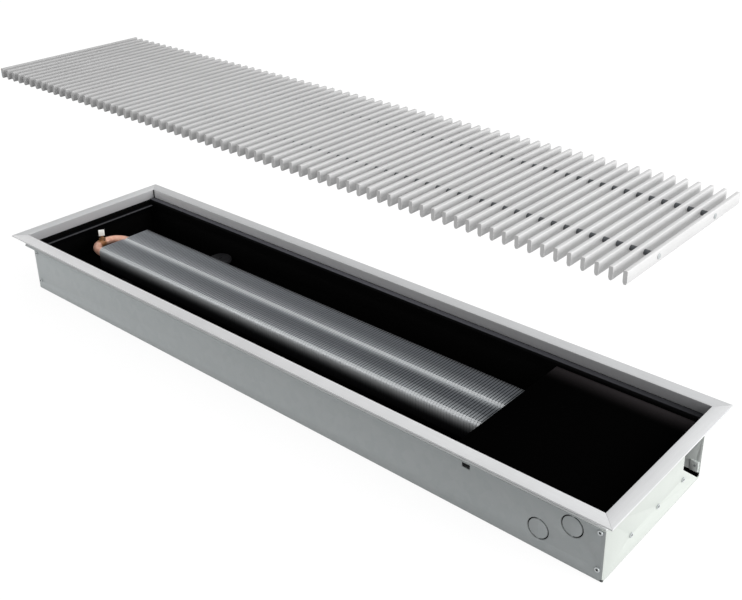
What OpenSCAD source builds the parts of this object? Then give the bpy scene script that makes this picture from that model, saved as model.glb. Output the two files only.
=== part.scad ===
// Trench convector heater: a sheet-steel floor trough with a hydronic fin-and-tube
// exchanger, an aluminium floor frame and a lift-out linear grille, shown raised.
// Origin: middle of the trough's underside. +X runs along the length towards the
// connection end, +Y towards the rear wall, +Z up. Millimetres.

/* [Floor frame] */
// Length over the floor frame
frame_l = 1200; // [1100:10:1600]
// Width over the floor frame
frame_w = 310; // [300:2:360]
// Height from the underside to the top of the frame
body_h = 107; // [104:1:130]
// Width of the frame's flat flange
flange_w = 20; // [18:0.5:24]
// Thickness of the flange
flange_t = 2.5; // [1.5:0.5:4]
// Thickness of the frame's hanging leg
leg_t = 2; // [1.5:0.5:3]
// Height of the leg, flange included
leg_h = 17; // [12:0.5:18]
// Arm length of the corner keys under the flange
key_l = 40; // [25:1:60]
// Width of the corner keys
key_w = 12; // [8:1:14]

/* [Trough] */
// Thickness of the galvanised sheet
sheet = 1.2; // [0.8:0.1:1.5]
// From the frame's front edge back to the front wall
front_inset = 26; // [24:0.5:28]
// From the frame's rear edge in to the rear wall
rear_inset = 31; // [28:0.5:33]
// From the frame's end in to the end wall
end_inset = 20; // [19:0.5:21]
// From the frame's edge in to the lip of the grille ledge
lip_inset = 14; // [12:0.5:15]
// Depth of the grille ledge below the frame top
ledge_drop = 20; // [19:0.5:22]
// Width of the end wall's inner side flanges
side_flange = 14; // [12:1:20]
// Height of the floor's upturned end flanges
floor_flange_h = 36; // [34:1:40]
// Running fit between sheets that are pushed together
fit = 0.1; // [0.05:0.05:0.2]

/* [Pipe entries] */
// Diameter of the knock-outs in the front wall
knock_d = 29; // [26:1:32]
// Width of the cut round each knock-out
knock_cut = 1.5; // [1:0.25:2]
// Width of the webs that hold each knock-out
knock_web = 2.5; // [2:0.5:4]
// Height of the lower knock-out
knock_low_z = 32; // [28:1:36]
// Height of the upper knock-out
knock_high_z = 60; // [56:1:62]
// From the end wall to the nearer knock-out
knock_end = 44; // [40:1:50]
// Spacing of the two knock-outs along the wall
knock_pitch = 46; // [40:1:60]
// Width of the pipe notch in the right end wall
notch_w = 56; // [52:1:60]
// Height of the notch's slanted sill at its tall side
notch_sill = 45; // [38:1:48]
// Height of the notch's slanted sill at its low side
notch_foot = 3; // [2.5:0.5:8]
// Width of the sill's slope
notch_slope = 50; // [40:1:52]

/* [Seals] */
// Width of the front rubber strip under the grille
seat_w = 6.5; // [5:0.5:7]
// Width of the rear rubber strip under the grille
seat_rear_w = 10.5; // [8:0.5:11]
// From the inner edge of the rear ledge to its rubber strip
seat_gap = 0.7; // [0.4:0.1:1]
// Width of the foam strip under the frame's leg
seal_w = 5.5; // [3:0.5:5.5]

/* [Grille] */
// Number of cross bars
bar_n = 71; // [61:1:81]
// Width of a bar
bar_w = 5; // [4:0.5:6]
// Height of a bar
bar_h = 15.5; // [14:0.5:17]
// Gap between the grille and the frame, on each side
grille_gap = 1.5; // [1:0.25:2]
// Diameter of the two tie rods
rod_d = 4; // [3:0.5:5]
// From the bars' ends in to each tie rod
rod_in = 66.5; // [40:0.5:80]
// Outer diameter of the spacer sleeves
spacer_d = 6.5; // [6:0.5:9]
// Diameter of the riveted rod ends
rivet_d = 6.5; // [6:0.5:8]
// Height that the lifted grille stands above its seat
grille_lift = 300; // [150:5:400]

/* [Exchanger] */
// Width of the fin stack
fin_w = 105; // [100:1:120]
// Height of the fin stack
fin_h = 50; // [44:1:52]
// Thickness of a fin
fin_t = 0.5; // [0.4:0.1:0.6]
// Pitch of the fins
fin_pitch = 6; // [5:0.5:12]
// From the left end wall to the first fin
fin_start = 88; // [84:1:110]
// From the last fin to the right end wall
fin_end = 158; // [150:1:260]
// Underside of the fins above the underside of the trough
fin_z = 27; // [24:1:28]
// Middle of the fin stack across the trough
fin_y = -2.5; // [-8:0.5:6]
// Outer diameter of the copper tubes
tube_d = 15; // [14:0.5:16]
// Wall of the copper tubes
tube_wall = 1; // [0.7:0.1:1.5]
// Spacing of the two tubes
tube_pitch = 58; // [50:1:62]
// Middle of the two tubes, from the middle of the fins
tube_off = -4.5; // [-9:0.5:0]
// Height of the tubes above the underside of the fins
tube_rise = 29.5; // [24:0.5:31]
// Straight tube between the fins and the return bend
bend_lead = 27; // [23:1:32]
// Straight tube between the fins and the connectors
tube_tail = 40; // [30:1:46]
// Radial play of the tubes in the fin collars
tube_play = 0.1; // [0.05:0.05:0.2]
// Thickness of the bracket sheet
bracket_t = 1.5; // [1:0.25:2]
// From the end of the fins to each bracket
bracket_in = 74; // [50:1:100]
// From the sides of the fins in to the bracket's screws
bracket_screw_in = 20; // [12:1:30]
// Depth of each bracket along the trough
bracket_x = 26; // [22:1:40]

/* [Connectors and vent] */
// Width across flats of the connectors
hex_af = 27; // [25:1:30]
// Length of a connector
hex_l = 30; // [28:1:36]
// Diameter of the female thread
thread_d = 18.6; // [18:0.1:19.2]
// Depth of the female thread
thread_l = 14; // [12:1:16]
// Depth that each tube enters its connector
socket_l = 8; // [6:1:10]
// Turn of the vent from the bend's crest towards the front
vent_turn = 8; // [0:1:15]
// Diameter of the vent boss
vent_d = 12; // [11:0.5:15]
// Height of the vent boss above the tube's axis
vent_h = 8.5; // [8.5:0.5:11]
// Diameter of the vent stem
stem_d = 5; // [4:0.5:6]
// Width of the square vent cap
cap_w = 10.5; // [8:0.5:12]
// Height of the vent cap
cap_h = 10; // [8:0.5:12]
// Turn of the closed vent cap about its stem
cap_turn = 58; // [0:1:90]
// Thickness of the vent cap above its stem
cap_roof = 4; // [2.5:0.5:5]
// Gap between the boss and the cap
cap_gap = 7; // [4:0.5:8]

/* [Connection cover] */
// Length of the cover plate along the trough
cover_l = 226; // [200:1:240]
// Depth of the cover's top below the frame top
cover_drop = 23; // [22.5:0.5:24]
// Width of the end rest angles
rest_w = 12; // [10:1:14]
// Height of the end rest angles
rest_h = 14; // [12:1:20]
// From the cover's free edge to its wall brackets
hook_in = 28; // [16:1:34]
// Width of a wall bracket along the wall
hook_w = 12; // [10:1:14]
// Reach of a wall bracket under the cover
hook_reach = 16; // [14:1:20]
// Height of the slot for a bracket's tongue
hook_slot_h = 7; // [5:0.5:8]
// Top of the slot below the cover
hook_slot_drop = 8.5; // [4.5:0.5:10]

/* [Screws and feet] */
// Diameter of the sheet screws
screw_d = 3.5; // [3:0.1:4]
// Diameter of the screw heads
head_d = 7; // [6:0.5:8]
// Height of the screw heads
head_h = 1.8; // [1.4:0.1:2.4]
// From the side walls in to the outer screws of the end walls
end_screw_in = 59; // [58:0.5:64]
// Middle screw of the end walls, from the middle across
end_screw_mid = 2.5; // [0:0.5:6]
// Height of the lower screws in the side walls
side_screw_low = 17; // [14:0.5:18]
// From the ledge down to the upper screws in the side walls
side_screw_drop = 16; // [14:0.5:20]
// Height of the screws in the end walls
end_screw_z = 29; // [24:0.5:32]
// From the end walls in to the levelling screws
level_in = 230; // [222:2:300]
// From the rear wall in to the rear levelling screws
level_rear_in = 25; // [23:1:30]
// From the front wall in to the front levelling screws
level_front_in = 28; // [23:1:34]
// Diameter of the levelling spindles
level_d = 8; // [6:1:10]
// Diameter of the levelling caps
level_cap_d = 40; // [30:1:42]
// Height of the levelling caps
level_cap_h = 8; // [6:0.5:10]
// Top of the levelling caps above the underside
level_top = 45; // [42:1:48]
// Height of the weld nuts
nut_h = 11; // [8:1:14]
// From the end walls in to the floor anchor holes
anchor_in_x = 70; // [60:5:80]
// From the frame's edges in to the floor anchor holes
anchor_in_y = 60; // [56:1:64]
// Diameter of the floor anchor holes
anchor_d = 7; // [6:0.5:9]

/* [Hidden] */
$fn = 48;
eps = 0.01;
half_x = frame_l / 2;
half_y = frame_w / 2;
open_x = half_x - flange_w;
open_y = half_y - flange_w;
front_y = -half_y + front_inset;
rear_y = half_y - rear_inset;
end_x = half_x - end_inset;
lip_x = half_x - lip_inset;
lip_y = half_y - lip_inset;
ledge_z = body_h - ledge_drop;
wall_in_front = front_y + sheet;
wall_in_rear = rear_y - sheet;
end_in = end_x - sheet;
flange_z = body_h - flange_t;
leg_z = body_h - leg_h;

knock_x = [end_x - knock_end - knock_pitch, end_x - knock_end];
knock_z = [knock_low_z, knock_high_z];
notch_y = rear_y - notch_w;
tab_z = floor_flange_h - 12;

grille_l = 2 * open_x - 2 * grille_gap;
grille_w = 2 * open_y - 2 * grille_gap;
bar_pitch = (grille_l - bar_w) / (bar_n - 1);
rod_y = grille_w / 2 - rod_in;
bar_z = body_h - bar_h + grille_lift;
rod_z = bar_z + bar_h / 2;
rod_play = 0.1;
seat_t = ledge_drop - bar_h;

fin_x0 = -end_x + fin_start;
fin_x1 = end_x - fin_end;
fin_l = fin_x1 - fin_x0;
fin_n = floor((fin_l - fin_t) / fin_pitch) + 1;
fin_step = (fin_l - fin_t) / (fin_n - 1);
tube_z = fin_z + tube_rise;
tube_mid = fin_y + tube_off;
tube_y = [tube_mid - tube_pitch / 2, tube_mid + tube_pitch / 2];
tube_x0 = fin_x0 - bend_lead;
tube_x1 = fin_x1 + tube_tail;
collar_d = tube_d + 2 * tube_play + 2;
vent_x = tube_x0 - tube_pitch / 2 * cos(vent_turn);
vent_y = tube_mid - tube_pitch / 2 * sin(vent_turn);
cap_z = tube_z + vent_h + cap_gap;
stem_z = cap_z + cap_h - cap_roof;

cover_z = body_h - cover_drop;
rest_z = cover_z - sheet;
cover_x1 = end_in - fit;
cover_x0 = cover_x1 - cover_l;
hook_x = cover_x0 + hook_in;
slot_top = rest_z - hook_slot_drop;
slot_mid = slot_top - hook_slot_h / 2;

end_screw_y = [for (i = [-1:1])
    end_screw_mid + i * ((rear_y - front_y) / 2 - end_screw_in)];
side_screw_x = end_x - side_flange / 2;
side_screw_l = 2 * sheet + fit + 0.5;
side_screw_z = [side_screw_low, ledge_z - side_screw_drop];
// Each side screw: end, wall and height; none above the notch's low tab
side_spots = [for (s = [-1, 1], w = [0, 1], z = side_screw_z)
    if (s < 0 || w == 0 || z < tab_z) [s, w, z]];
bracket_screw_y = [fin_y - fin_w / 2 + bracket_screw_in,
    fin_y + fin_w / 2 - bracket_screw_in];
shank_play = 0.1;
level_x = end_x - level_in;
level_front_y = front_y + level_front_in;
level_rear_y = rear_y - level_rear_in;
level_spots = [[-level_x, level_front_y], [level_x, level_front_y],
    [-level_x, level_rear_y], [level_x, level_rear_y]];
anchor_x = end_x - anchor_in_x;
anchor_y = half_y - anchor_in_y;
level_play = 0.075;

sheet_colour = [0.60, 0.62, 0.62];
black_colour = [0.08, 0.08, 0.09];
alu_colour = [0.84, 0.85, 0.86];
fin_colour = [0.55, 0.57, 0.60];
copper_colour = [0.80, 0.50, 0.38];
brass_colour = [0.75, 0.60, 0.32];
rubber_colour = [0.20, 0.20, 0.21];
foam_colour = [0.62, 0.62, 0.63];
white_colour = [0.90, 0.90, 0.86];
steel_colour = [0.70, 0.71, 0.72];

// A prism along X from x0 to x1 with an outline drawn in (Y, Z)
module along_x(x0, x1) {
    translate([x0, 0, 0]) rotate([90, 0, 90]) linear_extrude(x1 - x0) children();
}

// A prism along Y from y0 to y1 with an outline drawn in (X, Z)
module along_y(y0, y1) {
    translate([0, y1, 0]) rotate([90, 0, 0]) linear_extrude(y1 - y0) children();
}

// A box between two corners
module block(a, b) {
    translate(a) cube(b - a);
}

// A round bar along X from x0 to x1
module bar_x(x0, x1, y, z, d) {
    translate([x0, y, z]) rotate([0, 90, 0]) cylinder(d = d, h = x1 - x0);
}

// A round bar along Y from y0 to y1
module bar_y(x, y0, y1, z, d) {
    translate([x, y1, z]) rotate([90, 0, 0]) cylinder(d = d, h = y1 - y0);
}

// The bent section of the trough: floor, two walls and their out-turned ledges
module trough_section() {
    polygon([[-lip_y, ledge_z], [wall_in_front, ledge_z], [wall_in_front, sheet],
        [wall_in_rear, sheet], [wall_in_rear, ledge_z], [lip_y, ledge_z],
        [lip_y, ledge_z - sheet], [rear_y, ledge_z - sheet], [rear_y, 0],
        [front_y, 0], [front_y, ledge_z - sheet], [-lip_y, ledge_z - sheet]]);
}

// The cut that leaves a knock-out hanging on two webs
module knock_ring(x, z) {
    difference() {
        bar_y(x, front_y - 1, wall_in_front + 1, z, knock_d + knock_cut);
        bar_y(x, front_y - 2, wall_in_front + 2, z, knock_d - knock_cut);
        block([x - knock_web / 2, front_y - 2, z - knock_d],
            [x + knock_web / 2, wall_in_front + 2, z + knock_d]);
    }
}

// The outline of the pipe notch in (Y, Z), open at its rear and top
module notch_section() {
    polygon([[notch_y, ledge_z + 1], [notch_y, notch_sill],
        [notch_y + notch_slope, notch_foot], [rear_y + 1, notch_foot],
        [rear_y + 1, ledge_z + 1]]);
}

module trough_shell() {
    color(sheet_colour) difference() {
        union() {
            along_x(-lip_x, lip_x) trough_section();
            for (s = [-1, 1]) mirror([s < 0 ? 1 : 0, 0, 0])
                block([end_in - fit - sheet, wall_in_front + side_flange, 0],
                    [end_in - fit, notch_y + 12, floor_flange_h]);
        }
        for (s = [-1, 1]) mirror([s < 0 ? 1 : 0, 0, 0])
            block([end_x, -half_y, -1], [half_x, half_y, ledge_z - sheet]);
        along_x(end_in - fit - sheet - 1, end_x + 1) difference() {
            notch_section();
            polygon([[wall_in_rear, -1], [half_y, -1], [half_y, body_h],
                [wall_in_rear, body_h]]);
        }
        for (i = [0, 1]) knock_ring(knock_x[i], knock_z[i]);
        for (y = [front_y - 1, wall_in_rear - 1])
            block([hook_x - hook_w / 2 - fit, y, slot_top - hook_slot_h],
                [hook_x + hook_w / 2 + fit, y + sheet + 2, slot_top]);
        for (s = [-1, 1], y = end_screw_y)
            bar_x(s * end_x - 5, s * end_x + 5, y, end_screw_z, screw_d + 2 * shank_play);
        for (p = side_spots)
            side_hole(p[0], p[1] == 0 ? front_y : wall_in_rear, p[2]);
        for (x = [-anchor_x, anchor_x], y = [-anchor_y, anchor_y])
            translate([x, y, -1]) cylinder(d = anchor_d, h = sheet + 2);
        for (p = level_spots)
            translate([p[0], p[1], -1]) cylinder(d = level_d + 0.6, h = sheet + 2);
        for (x = [bracket_spot(-1), bracket_spot(1)], y = bracket_screw_y)
            translate([x, y, -1])
                cylinder(d = screw_d + 2 * shank_play, h = sheet + 2);
    }
}

// A clearance hole for a side screw through one sheet
module side_hole(s, y, z) {
    bar_y(s * side_screw_x, y - 1, y + sheet + 1, z, screw_d + 2 * shank_play);
}

// An end wall: plate, two inner side flanges and the out-turned ledge
module end_wall() {
    y0 = wall_in_front + fit;
    y1 = wall_in_rear - fit;
    difference() {
        union() {
            block([end_in, y0, sheet + fit], [end_x, y1, ledge_z]);
            block([end_in, y0, ledge_z - sheet], [lip_x, y1, ledge_z]);
            block([end_x - side_flange, y0, sheet + fit],
                [end_x, y0 + sheet, ledge_z - sheet]);
            block([end_x - side_flange, y1 - sheet, sheet + fit],
                [end_x, y1, ledge_z - sheet]);
        }
        for (y = end_screw_y)
            bar_x(end_x - 5, end_x + 5, y, end_screw_z, screw_d + 2 * shank_play);
        for (z = side_screw_z, y = [y0, y1 - sheet]) side_hole(1, y, z);
    }
}

module left_end_wall() {
    color(sheet_colour) mirror([1, 0, 0]) end_wall();
}

module right_end_wall() {
    color(sheet_colour) difference() {
        end_wall();
        along_x(end_in - 1, end_x + 1) difference() {
            notch_section();
            polygon([[0, ledge_z - sheet], [half_y, ledge_z - sheet],
                [half_y, body_h], [0, body_h]]);
        }
        block([end_x - side_flange - 1, wall_in_rear - 2 * sheet, tab_z],
            [end_in, wall_in_rear, ledge_z - sheet]);
    }
}

// The angle inside an end wall, from the front wall to y1; the right one carries
// the cover's end and stops short of the pipe notch
module end_rest_angle(y1) {
    y0 = wall_in_front + 3 * sheet;
    block([end_in - sheet - fit, y0, rest_z - rest_h], [end_in - fit, y1, rest_z]);
    block([end_in - fit - rest_w, y0, rest_z - sheet], [end_in - fit, y1, rest_z]);
}

module end_rest_angles() {
    color(black_colour) {
        end_rest_angle(notch_y - 2);
        mirror([1, 0, 0]) end_rest_angle(wall_in_rear - 3 * sheet);
    }
}

// A frame side along X, with both ends mitred
module frame_side(l) {
    intersection() {
        along_x(-l / 2, l / 2) union() {
            polygon([[0, flange_z], [flange_w, flange_z], [flange_w, body_h],
                [0, body_h]]);
            polygon([[flange_w - leg_t, leg_z], [flange_w, leg_z],
                [flange_w, body_h], [flange_w - leg_t, body_h]]);
        }
        linear_extrude(2 * body_h) polygon([[-l / 2, 0], [l / 2, 0],
            [l / 2 - flange_w, flange_w], [-l / 2 + flange_w, flange_w]]);
    }
}

module frame_front() {
    color(alu_colour) translate([0, -half_y, 0]) frame_side(frame_l);
}

module frame_rear() {
    color(alu_colour) translate([0, half_y, 0]) rotate([0, 0, 180]) frame_side(frame_l);
}

module frame_left() {
    color(alu_colour) translate([-half_x, 0, 0]) rotate([0, 0, -90]) frame_side(frame_w);
}

module frame_right() {
    color(alu_colour) translate([half_x, 0, 0]) rotate([0, 0, 90]) frame_side(frame_w);
}

module frame_corner_keys() {
    in = flange_w - leg_t - fit - key_w;
    color(steel_colour) for (sx = [-1, 1], sy = [-1, 1]) mirror([sx < 0 ? 1 : 0, 0, 0])
        mirror([0, sy < 0 ? 1 : 0, 0])
        translate([half_x, half_y, flange_z - flange_t]) linear_extrude(flange_t)
            polygon([[-in, -in], [-in - key_l, -in], [-in - key_l, -in - key_w],
                [-in - key_w, -in - key_w], [-in - key_w, -in - key_l],
                [-in, -in - key_l]]);
}

// The foam strips between the ledge and the foot of the frame's leg
module frame_seal() {
    out_x = open_x + seal_w;
    out_y = open_y + seal_w;
    color(foam_colour) for (s = [-1, 1]) {
        translate([-out_x, s > 0 ? open_y : -out_y, ledge_z])
            cube([2 * out_x, seal_w, leg_z - ledge_z]);
        translate([s > 0 ? open_x : -out_x, -open_y + fit, ledge_z])
            cube([seal_w, 2 * open_y - 2 * fit, leg_z - ledge_z]);
    }
}

module grille_seat_strips() {
    rear = wall_in_rear + seat_gap;
    front = -open_y + grille_gap / 2;
    color(rubber_colour) for (p = [[front, seat_w], [rear, seat_rear_w]])
        block([-grille_l / 2, p[0], ledge_z],
            [grille_l / 2, p[0] + p[1], ledge_z + seat_t]);
}

// Section of a bar in (X, Z): flat top, upright sides, slimmer foot
module bar_section() {
    edge = 0.4;
    foot_w = 2.6;
    foot_z = 3;
    polygon([[-foot_w / 2, 0], [foot_w / 2, 0], [bar_w / 2, foot_z],
        [bar_w / 2, bar_h - edge], [bar_w / 2 - edge, bar_h],
        [-bar_w / 2 + edge, bar_h], [-bar_w / 2, bar_h - edge], [-bar_w / 2, foot_z]]);
}

module grille_bars() {
    color(alu_colour) for (i = [0:bar_n - 1])
        translate([-grille_l / 2 + bar_w / 2 + i * bar_pitch, 0, bar_z]) difference() {
            along_y(-grille_w / 2, grille_w / 2) bar_section();
            for (s = [-1, 1])
                bar_x(-bar_w, bar_w, s * rod_y, bar_h / 2, rod_d + 2 * rod_play);
        }
}

module grille_tie_rods() {
    color(steel_colour) for (s = [-1, 1])
        bar_x(-grille_l / 2, grille_l / 2, s * rod_y, rod_z, rod_d);
}

module grille_spacers() {
    color(black_colour) for (i = [0:bar_n - 2], s = [-1, 1]) difference() {
        x = -grille_l / 2 + bar_w + i * bar_pitch;
        bar_x(x, x + bar_pitch - bar_w, s * rod_y, rod_z, spacer_d);
        bar_x(x - 1, x + bar_pitch - bar_w + 1, s * rod_y, rod_z, rod_d + 2 * rod_play);
    }
}

module grille_rod_rivets() {
    t = grille_gap / 2;
    color(steel_colour) for (s = [-1, 1])  {
        bar_x(grille_l / 2, grille_l / 2 + t, s * rod_y, rod_z, rivet_d);
        bar_x(-grille_l / 2 - t, -grille_l / 2, s * rod_y, rod_z, rivet_d);
    }
}

// Fins on two rows of drawn collars, one body as expanded onto the tubes
module fin_stack() {
    color(fin_colour) difference() {
        union() {
            for (i = [0:fin_n - 1])
                block([fin_x0 + i * fin_step, fin_y - fin_w / 2, fin_z],
                    [fin_x0 + i * fin_step + fin_t, fin_y + fin_w / 2, fin_z + fin_h]);
            for (y = tube_y) bar_x(fin_x0, fin_x1, y, tube_z, collar_d);
        }
        for (y = tube_y)
            bar_x(fin_x0 - 1, fin_x1 + 1, y, tube_z, tube_d + 2 * tube_play);
    }
}

module exchanger_tubes() {
    color(copper_colour) for (y = tube_y) difference() {
        bar_x(tube_x0, tube_x1, y, tube_z, tube_d);
        bar_x(tube_x0 - 1, tube_x1 + 1, y, tube_z, tube_d - 2 * tube_wall);
    }
}

module return_bend() {
    color(copper_colour) translate([tube_x0, tube_mid, tube_z])
        rotate([0, 0, 90]) rotate_extrude(angle = 180)
            translate([tube_pitch / 2, 0]) difference() {
                circle(d = tube_d);
                circle(d = tube_d - 2 * tube_wall);
            }
}

function bracket_spot(s) = s < 0 ? fin_x0 + bracket_in : fin_x1 - bracket_in;

// A bracket: foot on the floor, upright, shelf under the fins with two ears
module exchanger_bracket(x) {
    y0 = fin_y - fin_w / 2 - fit - bracket_t;
    y1 = fin_y + fin_w / 2 + fit + bracket_t;
    ear_h = 12;
    color(sheet_colour) difference() {
        union() {
            block([x - bracket_x / 2, y0, sheet], [x + bracket_x / 2, y1, sheet + bracket_t]);
            block([x + bracket_x / 2 - bracket_t, y0, sheet],
                [x + bracket_x / 2, y1, fin_z]);
            block([x - bracket_x / 2, y0, fin_z - bracket_t], [x + bracket_x / 2, y1, fin_z]);
            for (y = [y0, y1 - bracket_t])
                block([x - bracket_x / 2, y, fin_z - bracket_t],
                    [x + bracket_x / 2, y + bracket_t, fin_z + ear_h]);
        }
        for (y = bracket_screw_y) translate([x, y, 0])
            cylinder(d = screw_d + 2 * shank_play, h = fin_z - 2 * bracket_t);
        for (y = bracket_screw_y) translate([x, y, fin_z / 2])
            cylinder(d = head_d + 1, h = fin_z);
    }
}

module left_exchanger_bracket() {
    exchanger_bracket(bracket_spot(-1));
}

module right_exchanger_bracket() {
    exchanger_bracket(bracket_spot(1));
}

// A pan-head screw at the origin, head up, shank down
module screw(l) {
    cylinder(d = head_d, h = head_h);
    translate([0, 0, -l]) cylinder(d = screw_d, h = l + eps);
}

module bracket_screws() {
    color(steel_colour) for (x = [bracket_spot(-1), bracket_spot(1)], y = bracket_screw_y)
        translate([x, y, sheet + bracket_t]) screw(sheet + bracket_t);
}

// A connector: hexagon with a socket for the tube and a female thread
module connector(y) {
    x = tube_x1 - socket_l;
    color(brass_colour) difference() {
        translate([x, y, tube_z]) rotate([0, 90, 0]) rotate([0, 0, 30])
            cylinder(d = hex_af / cos(30), h = hex_l, $fn = 6);
        bar_x(x - 1, x + hex_l - 1, y, tube_z, tube_d + 2 * tube_play);
        bar_x(x + hex_l - thread_l, x + hex_l + 1, y, tube_z, thread_d);
    }
}

module flow_connector() {
    connector(tube_y[0]);
}

module return_connector() {
    connector(tube_y[1]);
}

// Vent boss saddled on the return bend near its crest, with its stem
module vent_body() {
    color(brass_colour) difference() {
        union() {
            translate([vent_x, vent_y, tube_z]) cylinder(d = vent_d, h = vent_h);
            translate([vent_x, vent_y, tube_z + vent_h - 1])
                cylinder(d = stem_d, h = stem_z - tube_z - vent_h + 1);
        }
        translate([tube_x0, tube_mid, tube_z]) rotate_extrude()
            translate([tube_pitch / 2, 0]) circle(d = tube_d + tube_play);
    }
}

module vent_cap() {
    color(white_colour) translate([vent_x, vent_y, cap_z]) rotate([0, 0, cap_turn])
        difference() {
            block([-cap_w / 2, -cap_w / 2, 0], [cap_w / 2, cap_w / 2, cap_h]);
            translate([0, 0, -1]) cylinder(d = stem_d + 0.15, h = cap_h - cap_roof + 1.2);
        }
}

// The cover plate lies on the two wall brackets and on the end rest angle
module connection_cover() {
    color(black_colour)
        block([cover_x0, wall_in_front + 2 * fit + sheet, rest_z],
            [cover_x1, wall_in_rear - 2 * fit - sheet, cover_z]);
}

// Wall brackets, each with a tongue through the wall's slot
module cover_hooks() {
    color(black_colour) for (s = [0, 1])
        translate([hook_x, s == 0 ? wall_in_front : wall_in_rear, 0])
            mirror([0, s, 0]) {
                block([-hook_w / 2, fit, slot_mid - 10], [hook_w / 2, fit + sheet, rest_z]);
                block([-hook_w / 2, fit, rest_z - sheet], [hook_w / 2, hook_reach, rest_z]);
                block([-hook_w / 2, -sheet, slot_mid - sheet / 2],
                    [hook_w / 2, fit + sheet, slot_mid + sheet / 2]);
            }
}

module end_wall_screws() {
    color(steel_colour) for (s = [-1, 1], y = end_screw_y)
        translate([s * end_x, y, end_screw_z]) rotate([0, s * 90, 0]) screw(side_screw_l);
}

module side_wall_screws() {
    color(steel_colour) for (p = side_spots)
        translate([p[0] * side_screw_x, p[1] == 0 ? front_y : rear_y, p[2]])
            rotate([p[1] == 0 ? 90 : -90, 0, 0]) screw(side_screw_l);
}

module levelling_nuts() {
    color(steel_colour) for (p = level_spots) translate([p[0], p[1], sheet])
        difference() {
            cylinder(d = 2 * level_d / cos(30), h = nut_h, $fn = 6);
            translate([0, 0, -1]) cylinder(d = level_d + 2 * level_play, h = nut_h + 2);
        }
}

module levelling_screw(i) {
    color(steel_colour) translate([level_spots[i][0], level_spots[i][1], 0])
        cylinder(d = level_d, h = level_top - level_cap_h);
}

// Moulded cap on the spindle's head, with a hexagonal key pocket
module levelling_cap(i) {
    key_af = 6;
    edge = 1.5;
    color(rubber_colour) translate([level_spots[i][0], level_spots[i][1],
            level_top - level_cap_h]) difference() {
        rotate_extrude() polygon([[0, 0], [level_cap_d / 2 - edge, 0],
            [level_cap_d / 2, edge], [level_cap_d / 2, level_cap_h - edge],
            [level_cap_d / 2 - edge, level_cap_h], [0, level_cap_h]]);
        translate([0, 0, level_cap_h / 2])
            cylinder(d = key_af / cos(30), h = level_cap_h, $fn = 6);
    }
}

module levelling_screw_front_left() { levelling_screw(0); }
module levelling_screw_front_right() { levelling_screw(1); }
module levelling_screw_rear_left() { levelling_screw(2); }
module levelling_screw_rear_right() { levelling_screw(3); }
module levelling_cap_front_left() { levelling_cap(0); }
module levelling_cap_front_right() { levelling_cap(1); }
module levelling_cap_rear_left() { levelling_cap(2); }
module levelling_cap_rear_right() { levelling_cap(3); }

trough_shell();
left_end_wall();
right_end_wall();
end_rest_angles();
frame_front();
frame_rear();
frame_left();
frame_right();
frame_corner_keys();
frame_seal();
grille_seat_strips();
grille_bars();
grille_tie_rods();
grille_spacers();
grille_rod_rivets();
fin_stack();
exchanger_tubes();
return_bend();
left_exchanger_bracket();
right_exchanger_bracket();
bracket_screws();
flow_connector();
return_connector();
vent_body();
vent_cap();
connection_cover();
cover_hooks();
end_wall_screws();
side_wall_screws();
levelling_nuts();
levelling_screw_front_left();
levelling_screw_front_right();
levelling_screw_rear_left();
levelling_screw_rear_right();
levelling_cap_front_left();
levelling_cap_front_right();
levelling_cap_rear_left();
levelling_cap_rear_right();
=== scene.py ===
import math

import bmesh
import bpy
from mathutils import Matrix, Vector


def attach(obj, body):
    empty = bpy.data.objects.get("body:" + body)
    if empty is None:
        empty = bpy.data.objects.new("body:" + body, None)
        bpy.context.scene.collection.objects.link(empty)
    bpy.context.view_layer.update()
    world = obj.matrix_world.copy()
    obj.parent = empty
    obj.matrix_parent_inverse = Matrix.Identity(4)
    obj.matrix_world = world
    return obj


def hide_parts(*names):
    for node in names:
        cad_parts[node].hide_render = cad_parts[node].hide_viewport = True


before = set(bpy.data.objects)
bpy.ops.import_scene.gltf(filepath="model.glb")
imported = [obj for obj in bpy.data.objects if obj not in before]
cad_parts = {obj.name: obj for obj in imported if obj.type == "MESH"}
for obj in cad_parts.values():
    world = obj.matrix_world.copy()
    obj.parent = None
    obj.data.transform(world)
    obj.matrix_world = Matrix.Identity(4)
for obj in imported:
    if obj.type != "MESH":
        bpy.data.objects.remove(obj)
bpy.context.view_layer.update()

# Places and sizes are in millimetres, and MM turns them into metres. The main ones are those
# of the part's source. The fins' pitch follows the lines in the photo instead, and their
# sheet is thinner.
MM = 0.001

# Floor frame
FRAME_L = 1200
FRAME_W = 310
TOP = 107
FLANGE_W = 20
FLANGE_T = 2.5
LEG_T = 2
LEG_Z = 90
OPEN_X = FRAME_L / 2 - FLANGE_W
OPEN_Y = FRAME_W / 2 - FLANGE_W
MITRE_GAP = 0.08

# Trough, cover edge, rubber strips and pipe knock-outs
SHEET = 1.2
FRONT_Y = -129
REAR_Y = 124
END_X = 580
LEDGE_Z = 87
STRIP_TOP = 91.5
COVER_X = 352.7
FOLD_R = 1.8
KNOCK_OUTS = ((490, 32), (536, 60))
KNOCK_R = 14.5

# Screws
HEAD_R = 3.5
HEAD_H = 1.8
SHANK_R = 1.75
SHANK_L = 3
DRIVE_RIM = 1.9
DRIVE_STEP = 0.2
DRIVE_DEPTH = 1.2
DRIVE_R = 1.7
END_SCREW_Y = (-65, 2.5, 70)
END_SCREW_Z = 29
SIDE_SCREW_X = 573
SIDE_SCREW_Z = (17, 71)
# each screw as the middle of its seat and the way that its head points
END_SCREWS = [((s * END_X, y, END_SCREW_Z), (s, 0, 0))
              for s in (-1, 1) for y in END_SCREW_Y]
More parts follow.
